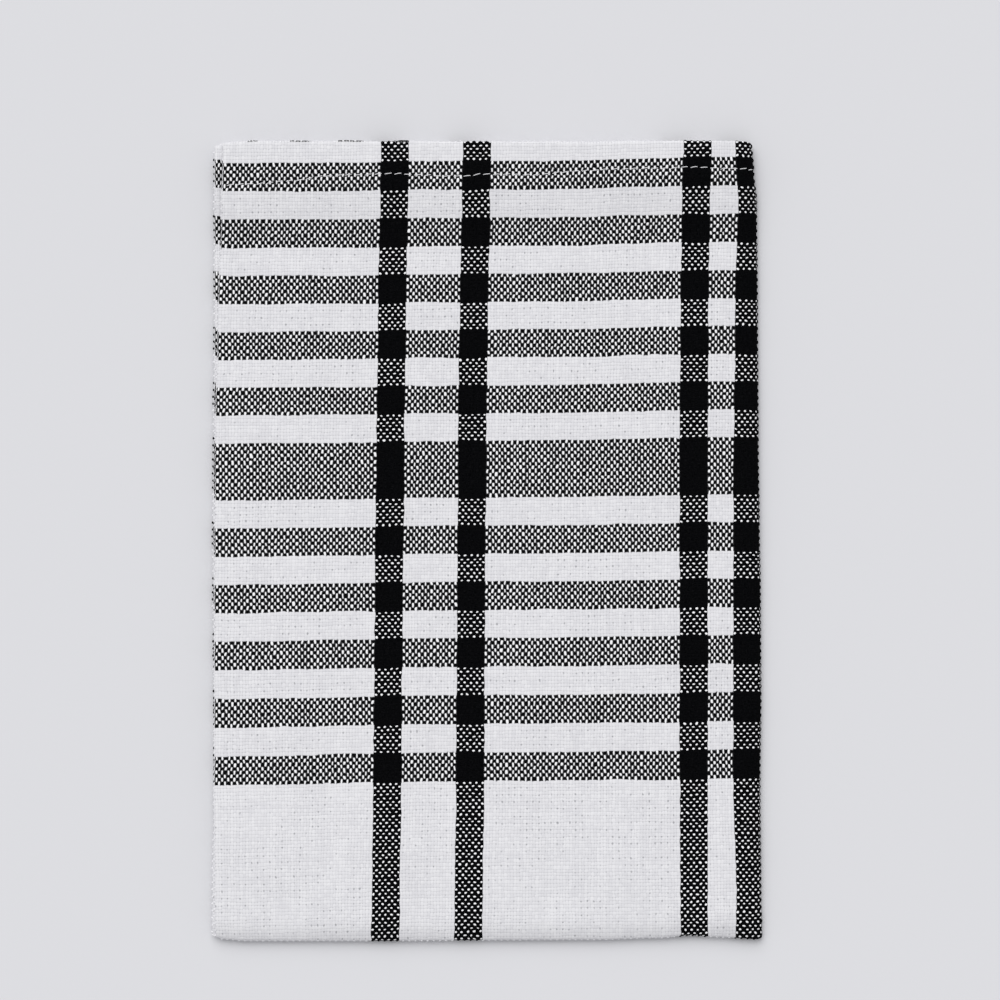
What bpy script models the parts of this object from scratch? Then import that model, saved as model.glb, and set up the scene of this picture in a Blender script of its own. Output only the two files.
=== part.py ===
import math

import bmesh
import bpy

# A striped cotton napkin folded in four: one sheet, folded end to end and then side to side.
# The first fold lies at the near end (-Y), the second along the right side (+X).
# The outer leaf of the sheet makes layers 1 (top) and 4, the inner leaf makes layers 2 and 3.
MM = 0.001

# Cloth
SHEET = 1.1             # thickness of the woven sheet
HEM_SHEET = 1.8         # thickness where each end is turned twice and sewn
HEM_DEPTH = 11.4        # depth of the hem
HEM_STEP = 1.0          # the turned edge drops back to the plain sheet over this length
HEM_RAMP = 20.0         # layers lying over the hems come down over this length
EDGE_ROUND = 0.35       # how far the cloth's own edges are rounded out

# Gaps between the layers
GAP = 0.36              # on the open flats
GAP_FOLD_END = 0.16     # pressed thinner at the first fold
FOLD_END_REACH = 9.0    # length over which it thins
GAP_SIDE = 0.10         # a little more room near the second fold
SIDE_REACH = 26.0
GAP_WAVE = 0.09         # soft unevenness of the lie
WAVE_X, WAVE_Y = 61.0, 83.0

# Outline along the length: where each edge runs, seen from above
EDGE_ROWS = [
    # station  left_top  left_inside  right
    (166.0, -107.9, -112.2, 108.5),
    (152.0, -108.3, -112.4, 109.5),
    (140.0, -108.7, -112.4, 110.7),
    (91.0, -110.3, -112.4, 111.1),
    (41.0, -111.5, -112.8, 111.4),
    (8.0, -111.6, -113.0, 111.8),
    (-24.0, -111.7, -112.9, 112.3),
    (-65.0, -111.8, -112.6, 112.5),
    (-100.0, -111.9, -112.4, 112.1),
    (-147.0, -111.5, -113.2, 112.5),
    (-166.0, -111.2, -113.2, 113.3),
]

# Outline across the width: the hemmed end and the first fold
END_ROWS = [
    # station  hem_end  fold
    (-114.0, 162.9, -162.2),
    (-109.0, 163.7, -163.3),
    (-100.0, 163.9, -164.0),
    (-40.0, 163.9, -164.0),
    (0.0, 163.8, -163.7),
    (46.0, 163.7, -163.5),
    (71.0, 164.0, -162.8),
    (85.0, 164.2, -161.8),
    (95.0, 164.0, -162.4),
    (114.0, 164.0, -163.4),
]

# Where the hidden layers end, set in from the layer above them
LAYER_ROWS = [
    # leaf, half, end_back, selvedge_back
    ("outer", "upper", 0.0, 0.0),
    ("inner", "upper", 0.7, 0.0),
    ("inner", "lower", 1.3, 0.9),
    ("outer", "lower", 0.9, 2.3),
]
LOWER_FOLD_BACK = 0.8   # the lower of the two near-end folds is set in by this

# Mesh steps
FLAT_COLUMNS = 13
FLAT_ROWS = 12
ARC_STEPS = 8           # round each fold
STEP_GROWTH = 1.25      # flats have longer steps away from the folds


def between(a, b, t):
    return a + (b - a) * t


def smooth(t):
    t = min(1.0, max(0.0, t))
    return t * t * (3.0 - 2.0 * t)


def look_up(rows, station, column):
    """Value of one column of a table at a station, eased between its rows."""
    rows = sorted(rows)
    if station <= rows[0][0]:
        return rows[0][column]
    for low, high in zip(rows, rows[1:]):
        if station <= high[0]:
            t = (station - low[0]) / (high[0] - low[0])
            return between(low[column], high[column], smooth(t))
    return rows[-1][column]


def layer_value(leaf, half, column):
    """Set-in of a layer; leaf runs 0 outer to 1 inner, half runs 0 upper to 1 lower."""
    v = {(row[0], row[1]): row[column] for row in LAYER_ROWS}
    upper = between(v["outer", "upper"], v["inner", "upper"], leaf)
    lower = between(v["outer", "lower"], v["inner", "lower"], leaf)
    return between(upper, lower, half)


def left_edge(leaf, half, y):
    top = look_up(EDGE_ROWS, y, 1)
    inside = look_up(EDGE_ROWS, y, 2)
    upper = between(top, inside, leaf)
    back = layer_value(leaf, 1.0, 3)
    return between(upper, inside + back, half)


def gap_at(x, y):
    """Gap between neighbouring layers at a place on the folded cloth."""
    from_fold = (y - look_up(END_ROWS, x, 2)) / FOLD_END_REACH
    gap = between(GAP_FOLD_END, GAP, smooth(from_fold))
    from_side = (look_up(EDGE_ROWS, y, 3) - x) / SIDE_REACH
    gap += GAP_SIDE * (1.0 - smooth(from_side)) * smooth(from_fold)
    wave = math.sin(2.0 * math.pi * (x + 0.3 * y) / WAVE_X)
    wave *= math.sin(2.0 * math.pi * (y - 0.2 * x) / WAVE_Y)
    return gap + GAP_WAVE * wave * smooth(from_fold)


def hem_heights(from_end, gap):
    """Outer face of a leaf above the middle of its pair, and its thickness there."""
    extra = HEM_SHEET - SHEET
    lift = 1.0 - smooth((from_end - HEM_DEPTH) / HEM_RAMP)
    thick = 1.0 - smooth((from_end - HEM_DEPTH) / HEM_STEP)
    return gap / 2.0 + SHEET + extra * lift, SHEET + extra * thick


def flat_steps(count):
    """Shares of the way to a fold, closer together near it."""
    return [1.0 - (1.0 - k / count) ** STEP_GROWTH for k in range(count + 1)]


def arc_angles():
    """Angles round a fold between its two flats, from +90 down to -90 degrees, ends left out."""
    return [math.pi * (0.5 - k / ARC_STEPS) for k in range(1, ARC_STEPS)]


def sheet_rows():
    """Rows of the sheet from the outer leaf's hem round the first fold to the inner leaf's hem."""
    ramp = [HEM_STEP, 0.35 * HEM_RAMP, 0.65 * HEM_RAMP]
    leaf = [("hem", d) for d in [0.0, HEM_DEPTH / 2.0, HEM_DEPTH] + [HEM_DEPTH + d for d in ramp]]
    leaf += [("flat", share) for share in flat_steps(FLAT_ROWS)]
    rows = [("outer",) + row for row in leaf]
    rows += [("arc", "turn", angle) for angle in arc_angles()]
    rows += [("inner",) + row for row in reversed(leaf)]
    return rows


def sheet_columns():
    """Columns from the top layer's selvedge round the second fold to the bottom layer's."""
    shares = flat_steps(FLAT_COLUMNS)
    columns = [("upper", share) for share in shares]
    columns += [("arc", angle) for angle in arc_angles()]
    columns += [("lower", share) for share in reversed(shares)]
    return columns


def place(column, row, face):
    """A point of the folded sheet; face 0 is its right side, 1 its back, between is the edge."""
    side, amount = column
    half = {"upper": 0.0, "lower": 1.0}.get(side)
    if half is None:
        half = (1.0 - math.sin(amount)) / 2.0
    part, kind, value = row

    # x is first taken without the fold's own height, to read the tables
    leaf = {"outer": 0.0, "inner": 1.0}.get(part)
    if leaf is None:
        leaf = (1.0 - math.sin(value)) / 2.0
    if side == "arc":
        x_table = look_up(EDGE_ROWS, 0.0, 3)
    else:
        x_table = between(left_edge(leaf, half, 0.0), look_up(EDGE_ROWS, 0.0, 3), amount)

    end_y = look_up(END_ROWS, x_table, 1) - layer_value(leaf, half, 2)
    fold_y = look_up(END_ROWS, x_table, 2) + LOWER_FOLD_BACK * half
    gap_end = gap_at(x_table, fold_y)
    turn_y = fold_y + gap_end / 2.0 + SHEET
    if kind == "hem":
        y = end_y - value
    elif kind == "flat":
        y = between(end_y - HEM_DEPTH - HEM_RAMP, turn_y, value)
    else:
        y = turn_y
    gap = gap_at(x_table, y)
    outer_face, thick = hem_heights(end_y - y, gap)
    depth = outer_face - thick * face
    if kind == "turn":
        h = depth * math.sin(value)
        y -= depth * math.cos(value)
    else:
        h = depth if leaf == 0.0 else -depth

    bend = outer_face + gap / 2.0
    centre_z = bend + outer_face
    centre_x = look_up(EDGE_ROWS, y, 3) - bend - outer_face
    if side == "arc":
        x = centre_x + (bend + h) * math.cos(amount)
        z = centre_z + (bend + h) * math.sin(amount)
    else:
        x = between(left_edge(leaf, half, y), centre_x, amount)
        z = centre_z + (bend + h) * (1.0 if side == "upper" else -1.0)
    return x, y, z


def build_napkin():
    columns = sheet_columns()
    rows = sheet_rows()
    last_c, last_r = len(columns) - 1, len(rows) - 1
    mesh = bmesh.new()
    grid = {}
    for face in (0, 1):
        for c, column in enumerate(columns):
            for r, row in enumerate(rows):
                grid[face, c, r] = mesh.verts.new(place(column, row, float(face)))

    # Middle line of the cloth's cut edge, rounded out past its two faces
    rim = [(c, 0) for c in range(last_c)] + [(last_c, r) for r in range(last_r)]
    rim += [(c, last_r) for c in range(last_c, 0, -1)] + [(0, r) for r in range(last_r, 0, -1)]
    edge = {}
    for c, r in rim:
        x, y, z = place(columns[c], rows[r], 0.5)
        if r in (0, last_r):
            y += EDGE_ROUND
        if c in (0, last_c):
            x -= EDGE_ROUND
        edge[c, r] = mesh.verts.new((x, y, z))

    for c in range(last_c):
        for r in range(last_r):
            a, b, d, e = (c, r), (c + 1, r), (c + 1, r + 1), (c, r + 1)
            mesh.faces.new([grid[(0,) + k] for k in (a, e, d, b)])
            mesh.faces.new([grid[(1,) + k] for k in (a, b, d, e)])
    for here, there in zip(rim, rim[1:] + rim[:1]):
        mesh.faces.new([grid[(0,) + here], grid[(0,) + there], edge[there], edge[here]])
        mesh.faces.new([edge[here], edge[there], grid[(1,) + there], grid[(1,) + here]])

    # Middle of the footprint at the origin, underside on the surface
    xs = [v.co.x for v in mesh.verts]
    ys = [v.co.y for v in mesh.verts]
    zs = [v.co.z for v in mesh.verts]
    middle = ((min(xs) + max(xs)) / 2.0, (min(ys) + max(ys)) / 2.0, min(zs))
    for v in mesh.verts:
        v.co.x = (v.co.x - middle[0]) * MM
        v.co.y = (v.co.y - middle[1]) * MM
        v.co.z = (v.co.z - middle[2]) * MM
    bmesh.ops.triangulate(mesh, faces=mesh.faces[:])
    bmesh.ops.recalc_face_normals(mesh, faces=mesh.faces[:])
    data = bpy.data.meshes.new("napkin")
    mesh.to_mesh(data)
    mesh.free()
    napkin = bpy.data.objects.new("napkin", data)
    bpy.context.scene.collection.objects.link(napkin)
    return napkin


def paint(piece, name, colour, roughness):
    material = bpy.data.materials.new(name)
    material.use_nodes = True
    shader = material.node_tree.nodes["Principled BSDF"]
    shader.inputs["Base Color"].default_value = colour + (1.0,)
    shader.inputs["Roughness"].default_value = roughness
    piece.data.materials.append(material)


for thing in list(bpy.data.objects):
    bpy.data.objects.remove(thing, do_unlink=True)
napkin = build_napkin()
paint(napkin, "cotton", (0.72, 0.72, 0.73), 0.9)
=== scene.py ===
import math

import bpy
import numpy as np
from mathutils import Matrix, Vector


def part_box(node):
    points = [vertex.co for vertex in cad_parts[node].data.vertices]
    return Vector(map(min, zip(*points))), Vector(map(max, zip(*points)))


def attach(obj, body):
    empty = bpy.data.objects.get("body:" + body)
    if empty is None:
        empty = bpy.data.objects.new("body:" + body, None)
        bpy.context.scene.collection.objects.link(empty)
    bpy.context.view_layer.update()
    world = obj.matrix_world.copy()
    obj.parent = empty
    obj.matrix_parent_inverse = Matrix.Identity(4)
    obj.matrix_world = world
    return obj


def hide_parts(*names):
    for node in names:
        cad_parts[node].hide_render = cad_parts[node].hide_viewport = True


# A striped cotton napkin folded in four, woven yarn by yarn in its material and sewn along its hems.
# Lengths are in millimetres until they reach Blender; yarns are counted from the cloth's corner.
MM = 0.001

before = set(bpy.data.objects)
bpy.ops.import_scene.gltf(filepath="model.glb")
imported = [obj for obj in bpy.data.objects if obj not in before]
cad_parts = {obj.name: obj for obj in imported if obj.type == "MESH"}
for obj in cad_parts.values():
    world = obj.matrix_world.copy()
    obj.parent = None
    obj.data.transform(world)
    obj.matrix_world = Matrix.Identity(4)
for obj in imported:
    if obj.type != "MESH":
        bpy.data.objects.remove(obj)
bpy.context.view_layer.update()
low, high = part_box("napkin")

# Cloth, as in the solid, with a longer ramp down from the hems
SHEET = 1.1
HEM_SHEET = 1.8
HEM_DEPTH = 11.4
HEM_STEP = 1.0
HEM_RAMP = 28.0

# Gaps between the layers, as in the solid
GAP = 0.36
GAP_FOLD_END = 0.16
FOLD_END_REACH = 9.0
GAP_SIDE = 0.10
SIDE_REACH = 26.0
GAP_WAVE = 0.09
WAVE_X, WAVE_Y = 61.0, 83.0

# Outline along the length, as in the solid
EDGE_ROWS = [
    # station  left_top  left_inside  right
    (166.0, -107.9, -112.2, 108.5),
    (152.0, -108.3, -112.4, 109.5),
    (140.0, -108.7, -112.4, 110.7),
    (91.0, -110.3, -112.4, 111.1),
    (41.0, -111.5, -112.8, 111.4),
    (8.0, -111.6, -113.0, 111.8),
    (-24.0, -111.7, -112.9, 112.3),
    (-65.0, -111.8, -112.6, 112.5),
    (-100.0, -111.9, -112.4, 112.1),
    (-147.0, -111.5, -113.2, 112.5),
    (-166.0, -111.2, -113.2, 113.3),
]

# Outline across the width, as in the solid
END_ROWS = [
    # station  hem_end  fold
    (-114.0, 162.9, -162.2),
    (-109.0, 163.7, -163.3),
    (-100.0, 163.9, -164.0),
    (-40.0, 163.9, -164.0),
    (0.0, 163.8, -163.7),
    (46.0, 163.7, -163.5),
    (71.0, 164.0, -162.8),
    (85.0, 164.2, -161.8),
    (95.0, 164.0, -162.4),
    (114.0, 164.0, -163.4),
]

# Where the hidden layers end, set in from the layer above them
LAYER_ROWS = [
    # leaf, half, end_back, selvedge_back
    ("outer", "upper", 0.0, 0.0),
    ("inner", "upper", 0.7, 0.0),
    ("inner", "lower", 1.3, 0.9),
    ("outer", "lower", 0.9, 2.3),
]
LOWER_FOLD_BACK = 0.8

# Weave: yarns counted from the top layer's selvedge and from the hem's first dark band
END_PITCH = 1.255
PICK_PITCH = 1.455
ENDS = 359
SELVEDGE_EXTRA, SELVEDGE_REACH = 1.5, 3.5      # ends crowded in at the inner leaf's selvedge, over mm
MIDDLE_END = ENDS / 2.0
PICKS = 445
MIDDLE_PICK = PICKS / 2.0

# Dark stripes along the cloth, in ends, up to the middle of the cloth
STRIPES = [
    # first  last
    (52, 61),
    (79, 88),
    (152, 161),
    (170, 190),
]

# Dark bands across the cloth, in picks, up to its middle; the band before the first is in the hem
BANDS = [
    # first  last
    (-16, -8),
    (0, 8),
    (16, 24),
    (32, 40),
    (48, 56),
    (64, 72),
    (80, 96),
    (104, 112),
    (120, 128),
    (136, 144),
    (152, 160),
    (168, 176),
]

# How the stripes wander along the top layer: the left side of each
STRIPE_ROWS = [
    # station  first  second  third  middle
    (162.0, -43.5, -9.8, 80.6, 101.7),
    (140.0, -43.9, -10.3, 80.0, 102.9),
    (99.0, -44.7, -11.1, 79.5, 101.9),
    (41.0, -45.5, -11.9, 79.1, 101.3),
    (-24.0, -46.1, -12.3, 79.1, 101.1),
    (-98.0, -46.7, -12.7, 79.1, 101.1),
    (-147.0, -47.4, -13.3, 79.3, 102.3),
    (-162.0, -47.6, -13.5, 79.5, 102.1),
]
STRIPE_WIDTH = 11.4

# Where the picks lie along the left side of the top layer
PICK_ROWS = [
    # station  pick
    (-164.0, 220.0),
    (-99.8, 176.0),
    (-40.8, 136.0),
    (17.1, 96.0),
    (40.5, 80.0),
    (97.7, 40.0),
    (155.4, 0.0),
    (166.0, -7.4),
]

# How far the picks rise towards the right, at the hemmed end and at the fold
RISE_ROWS = [
    # station  hem_end  fold
    (-103.0, 0.0, 0.0),
    (-79.0, 0.15, 0.5),
    (-58.0, 0.15, 1.0),
    (-22.0, 0.7, 1.7),
    (11.0, 0.9, 1.9),
    (36.0, 1.1, 2.1),
    (61.0, 1.8, 2.2),
    (75.0, 2.2, 2.3),
    (96.0, 2.5, 2.8),
    (112.0, 2.3, 2.9),
]

FOLD_ROUND = 1.3        # picks within this of the end fold are counted round it

# The inner leaf's bands lie higher than the top layer's by this
INNER_RISE_END, INNER_RISE_FOLD = 1.6, 3.6

# Where the top layer's line of stitches lies, from the hem's outer edge
SEAM_ROWS = [
    # station  depth
    (-112.0, 17.1),
    (-97.0, 16.9),
    (-84.6, 15.7),
    (-67.8, 13.8),
    (-55.5, 13.1),
    (-37.4, 12.6),
    (-28.3, 13.3),
    (-7.8, 13.6),
    (1.2, 12.8),
    (21.4, 12.9),
    (46.0, 11.1),
    (54.6, 10.8),
    (76.4, 10.6),
    (91.2, 10.3),
    (106.0, 10.7),
    (114.0, 10.9),
]

# Stretches of the hem's outer edge where its turned band shows
HEM_PEEKS = [
    # from   to
    (-97.5, -93.5),
    (-81.5, -71.5),
    (-62.5, -50.0),
    (-37.5, -31.0),
]


def between(a, b, t):
    return a + (b - a) * t


def smooth(t):
    t = np.clip(t, 0.0, 1.0)
    return t * t * (3.0 - 2.0 * t)


def look_up(rows, station, column, eased=True):
    """Values of one column of a table at stations, eased or straight between its rows."""
    table = np.array(sorted(rows), float)
    stations = table[:, 0]
    k = np.clip(np.searchsorted(stations, station) - 1, 0, len(stations) - 2)
    t = np.clip((station - stations[k]) / (stations[k + 1] - stations[k]), 0.0, 1.0)
    if eased:
        t = smooth(t)
    return between(table[k, column], table[k + 1, column], t)


def layer_value(leaf, half, column):
    v = {(row[0], row[1]): row[column] for row in LAYER_ROWS}
    upper = between(v["outer", "upper"], v["inner", "upper"], leaf)
    lower = between(v["outer", "lower"], v["inner", "lower"], leaf)
    return between(upper, lower, half)


def left_edge(leaf, half, y):
    top = look_up(EDGE_ROWS, y, 1)
    inside = look_up(EDGE_ROWS, y, 2)
    upper = between(top, inside, leaf)
    return between(upper, inside + layer_value(leaf, 1.0, 3), half)


def gap_at(x, y):
    from_fold = (y - look_up(END_ROWS, x, 2)) / FOLD_END_REACH
    gap = between(GAP_FOLD_END, GAP, smooth(from_fold))
    from_side = (look_up(EDGE_ROWS, y, 3) - x) / SIDE_REACH
    gap += GAP_SIDE * (1.0 - smooth(from_side)) * smooth(from_fold)
    wave = np.sin(2.0 * np.pi * (x + 0.3 * y) / WAVE_X)
    wave *= np.sin(2.0 * np.pi * (y - 0.2 * x) / WAVE_Y)
    return gap + GAP_WAVE * wave * smooth(from_fold)


def hem_heights(from_end, gap):
    extra = HEM_SHEET - SHEET
    lift = 1.0 - smooth((from_end - HEM_DEPTH) / HEM_RAMP)
    thick = 1.0 - smooth((from_end - HEM_DEPTH) / HEM_STEP)
    return gap / 2.0 + SHEET + extra * lift, SHEET + extra * thick


# Small unevenness of the lie
PUCKER = 0.16           # puckers the sewing draws along the hem
PUCKER_REACH = 7.0
PUCKER_LENGTHS = (8.6, 5.3, 13.7)
SEAM_DIP = 0.22         # the cloth sinks under its stitches
SEAM_REACH = 1.3
SEAM_DEPTH = 10.9       # the line of stitches, from the hem's outer edge
EDGE_WOBBLE = 0.16      # the cloth's own edges
END_WOBBLES = (31.0, 11.3, 6.1)
SIDE_WOBBLES = (27.0, 9.1, 5.2)

# From the weft's turns, which the solid's side reaches, to the last warp end: top layer, the others
SELVEDGE_BACK, HIDDEN_SELVEDGE_BACK = 0.05, 0.70
FOLD_INSIDE = 0.074     # from the solid's side to the side fold, whose floats stand proud of it
CREASE_PRESS = 0.34     # share of the stack's height pressed out at its two folded sides
CREASE_REACH = 6.8

# The edge turned in inside the hem shows through as a low ridge
RIDGE_DEPTH, RIDGE_HEIGHT, RIDGE_WIDTH = 4.0, 0.11, 0.9
RIDGE_STRAY, RIDGE_STRAYS, RIDGE_FADES = 1.2, (74.0, 31.0), (93.0, 41.0)

# The rows near the hem move to the line of stitches: fully from this depth, to this one, back over this
ROW_SHIFT_FROM, ROW_SHIFT_TO, ROW_SHIFT_BACK = 7.0, 17.0, 60.0

# Swells and puckers die out before the folds: per share of the flat, across and along
FADE_ACROSS, FADE_ALONG = 14.0, 22.0
PUCKER_AT_SIDE = 0.4    # what is left of the puckers round the side fold

# Soft swells of the top layer, where it doesn't lie quite flat on the one below
SWELLS = [
    # x      y      long   wide  turn  height
    (-78.0, 96.0, 46.0, 15.0, 12.0, 0.20),
    (-18.0, 22.0, 60.0, 18.0, -8.0, 0.16),
    (52.0, 88.0, 52.0, 16.0, 6.0, 0.22),
    (30.0, -64.0, 70.0, 20.0, 4.0, 0.18),
    (-72.0, -48.0, 55.0, 17.0, -14.0, 0.20),
    (-40.0, -128.0, 64.0, 13.0, 3.0, 0.26),
    (58.0, -136.0, 48.0, 12.0, -5.0, 0.24),
    (88.0, 8.0, 16.0, 70.0, 2.0, 0.20),
]


def hum(v, seed, lengths):
    """A steady uneven wave: a few sines of unlike lengths."""
    total = np.zeros_like(v)
    for k, length in enumerate(lengths):
        total += np.sin(2.0 * np.pi * v / length + seed * (k + 1) * 1.7) / (k + 1.0)
    return total / sum(1.0 / (k + 1.0) for k in range(len(lengths)))


def swell(x, y):
    total = np.zeros_like(x)
    for sx, sy, long, wide, turn, height in SWELLS:
        c, s = math.cos(math.radians(turn)), math.sin(math.radians(turn))
        along = ((x - sx) * c + (y - sy) * s) / long
        across = ((y - sy) * c - (x - sx) * s) / wide
        total += height * np.exp(-(along * along + across * across))
    return total


def sewn(x, from_seam):
    """Height drawn up by the sewing: puckers either side of the line, which itself sinks."""
    away = np.abs(from_seam)
    puckers = (0.5 + 0.5 * hum(x, 3.0, PUCKER_LENGTHS)) * np.exp(-(away / PUCKER_REACH) ** 2)
    return PUCKER * puckers - SEAM_DIP * np.exp(-(away / SEAM_REACH) ** 2)


def ridge(x, from_end):
    middle = RIDGE_DEPTH + RIDGE_STRAY * hum(x, 5.0, RIDGE_STRAYS)
    strength = 0.55 + 0.45 * hum(x, 4.0, RIDGE_FADES)
    return RIDGE_HEIGHT * strength * np.exp(-((from_end - middle) / RIDGE_WIDTH) ** 2)


def fold_values(c):
    """Across: 0 to 1 the upper flat, 1 to 2 the side fold, 2 to 3 the lower flat."""
    share = np.where(c < 1.0, c, np.where(c > 2.0, 3.0 - c, 1.0))
    angle = np.pi * (0.5 - np.clip(c - 1.0, 0.0, 1.0))
    return share, angle, (1.0 - np.sin(angle)) / 2.0


def lie(c, r, face):
    """The folded sheet at places across (c) and along (r); face 0 is its right side, 1 its back."""
    share, angle, half = fold_values(c)
    share_y, turn, leaf = fold_values(r)
    right = look_up(EDGE_ROWS, 0.0 * c, 3)
    x_table = between(left_edge(leaf, half, 0.0 * c), right, share)

    end_y = look_up(END_ROWS, x_table, 1) - layer_value(leaf, half, 2)
    end_y += EDGE_WOBBLE * hum(x_table + 40.0 * leaf, 1.0 + half, END_WOBBLES) * (share_y < 0.5)
    fold_y = look_up(END_ROWS, x_table, 2) + LOWER_FOLD_BACK * half
    turn_y = fold_y + gap_at(x_table, fold_y) / 2.0 + SHEET

    # The rows of the mesh near the hem follow the line of stitches
    astray = between(look_up(SEAM_ROWS, x_table, 1) - SEAM_DEPTH, 0.0, np.maximum(leaf, half))
    row_depth = share_y * LEAF_LENGTH
    row_shift = astray * smooth(row_depth / ROW_SHIFT_FROM)
    row_shift = row_shift * (1.0 - smooth((row_depth - ROW_SHIFT_TO) / ROW_SHIFT_BACK))
    y = between(end_y, turn_y, share_y + row_shift / LEAF_LENGTH)
    from_seam = end_y - y - SEAM_DEPTH - astray
    gap = gap_at(x_table, y)
    outer_face, thick = hem_heights(from_seam + SEAM_DEPTH, gap)
    depth = outer_face - thick * face
    h = depth * np.sin(turn)
    y = y - depth * np.cos(turn)

    bend = outer_face + gap / 2.0
    centre_x = look_up(EDGE_ROWS, y, 3) - bend - outer_face
    left = left_edge(leaf, half, y)
    left = left + between(SELVEDGE_BACK, HIDDEN_SELVEDGE_BACK, np.maximum(leaf, half))
    left = left + EDGE_WOBBLE * hum(y + 30.0 * leaf, 2.0 + half, SIDE_WOBBLES)
    x = between(left, centre_x, share) + (bend + h) * np.cos(angle)
    z = bend + outer_face + (bend + h) * np.sin(angle)

    # The top layer alone swells and puckers, fading out at its folds
    free = smooth((1.0 - leaf) * 4.0 - 3.0) * (1.0 - smooth(half * 8.0))
    free = free * smooth((1.0 - share) * FADE_ACROSS) * smooth((1.0 - share_y) * FADE_ALONG)
    at_side = (1.0 - smooth((1.0 - share) * FADE_ACROSS)) * (leaf < 0.5) * (half < 0.02)
    seam = free + PUCKER_AT_SIDE * at_side
    z = z + free * swell(x, y) + seam * (sewn(x, from_seam) + ridge(x, end_y - y))

    # The bottom layer is drawn in along its own stitches, and both creases are pressed
    under = (leaf < 0.5) * smooth(half * 6.0 - 5.0)
    z = z + under * SEAM_DIP * np.exp(-(from_seam / SEAM_REACH) ** 2)
    from_fold = y - fold_y
    from_side = look_up(EDGE_ROWS, y, 3) - x
    low_end = (1.0 - np.clip(from_fold / CREASE_REACH, 0.0, 1.0)) ** 2
    low_side = (1.0 - np.clip(from_side / CREASE_REACH, 0.0, 1.0)) ** 2
    z = z * (1.0 - CREASE_PRESS * np.sqrt(np.minimum(low_end ** 2 + low_side ** 2, 1.0)))
    return {"x": x, "y": y, "z": z, "bend": bend, "h": h, "centre_x": centre_x, "left": left,
            "share": share, "angle": angle, "half": half, "leaf": leaf, "turn": turn,
            "fold_y": fold_y}


def ends_at(place):
    """Count of warp ends from the top layer's selvedge to each place."""
    x, y = place["x"], place["y"]
    flat_x = between(place["left"], place["centre_x"], place["share"])
    knots = [(place["left"], 0.0)]
    for column, (first, last) in enumerate(STRIPES[:3], 1):
        side = look_up(STRIPE_ROWS, y, column)
        knots += [(side, first), (side + STRIPE_WIDTH, last)]
    middle = look_up(STRIPE_ROWS, y, 4)
    knots.append((middle, STRIPES[3][0]))
    outer = np.zeros_like(x)
    for (x0, e0), (x1, e1) in zip(knots, knots[1:]):
        outer += np.clip((flat_x - x0) / (x1 - x0), 0.0, 1.0) * (e1 - e0)
    outer += np.maximum(flat_x - middle, 0.0) / END_PITCH
    at_bend = STRIPES[3][0] + np.maximum(place["centre_x"] - middle, 0.0) / END_PITCH

    arc = np.pi * (place["bend"] + place["h"]) / END_PITCH
    inner_bend = MIDDLE_END - arc / 2.0
    flat_width = place["centre_x"] - place["left"]
    from_selvedge = place["share"] * flat_width
    inner = place["share"] * inner_bend
    crowded = SELVEDGE_EXTRA * (1.0 - np.exp(-from_selvedge / SELVEDGE_REACH))
    inner = inner + crowded * (1.0 - place["share"])
    upper = between(outer, inner, place["leaf"])
    start = between(at_bend, inner_bend, place["leaf"])
    past = (0.5 - place["angle"] / np.pi) * arc
    lower = between(ENDS, start + arc, place["share"])
    return np.where(place["half"] <= 0.0, upper, np.where(place["half"] >= 1.0, lower, start + past))


def picks_at(place):
    """Count of weft picks from the first dark band of the outer leaf to each place."""
    x, y = place["x"], place["y"]
    share = smooth((164.0 - y) / 328.0)
    rise = between(look_up(RISE_ROWS, x, 1), look_up(RISE_ROWS, x, 2), share)

    def count(station):
        past = np.minimum(station + 164.0, 0.0)
        return look_up(PICK_ROWS, station, 1, eased=False) - past / PICK_PITCH

    flat_y = np.maximum(y, place["fold_y"] + FOLD_ROUND)
    outer = count(flat_y - rise)
    inner = PICKS - count(flat_y - rise - between(INNER_RISE_END, INNER_RISE_FOLD, share))
    return between(outer, inner, 0.5 - place["turn"] / np.pi)


# Mesh steps: across, along and, for the rows near the hem, depths from its outer edge
FLAT_COLUMNS = 80
COLUMN_CROWDING = 1.06  # a little denser at the side fold
SIDE_ARC = 14
FLAT_ROWS = 92
HEM_ROWS = (0.0, 1.0, 2.2, 3.0, 3.8, 4.8, 6.4, 8.2, 9.6, 10.3, 10.9, 11.4, 11.8, 12.4, 13.6, 15.6)
END_ARC = 10
LEAF_LENGTH = 326.0

# The sheet's own edges: lines through its thickness, grooves between a hem's turned layers
RIM_LINES = (0.06, 0.18, 0.29, 0.333, 0.376, 0.5, 0.624, 0.667, 0.71, 0.82, 0.94)
RIM_GROOVES = (0.333, 0.667)
GROOVE_WIDTH, GROOVE_DEPTH = 0.05, 1.1
HEM_GROOVE_FADE = 0.6
EDGE_ROUND = 0.45
END_ROUNDER = 1.1       # the hemmed ends are this much fuller than the selvedges
RIM_ENDS = 0.6          # ends counted round a selvedge
PEEK_PROUD, PEEK_PICKS, PEEK_FADE = 0.45, 4.4, 0.8


def steps_across():
    flat = np.linspace(0.0, 1.0, FLAT_COLUMNS + 1)
    flat = 1.0 - (1.0 - flat) ** COLUMN_CROWDING
    arc = 1.0 + np.linspace(0.0, 1.0, SIDE_ARC + 1)[1:-1]
    return np.concatenate([flat, arc, 3.0 - flat[::-1]])


def steps_along():
    hem = np.array(HEM_ROWS) / LEAF_LENGTH
    flat = np.concatenate([hem[:-1], np.linspace(hem[-1], 1.0, FLAT_ROWS)])
    arc = 1.0 + np.linspace(0.0, 1.0, END_ARC + 1)[1:-1]
    return np.concatenate([flat, arc, 3.0 - flat[::-1]])


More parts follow.
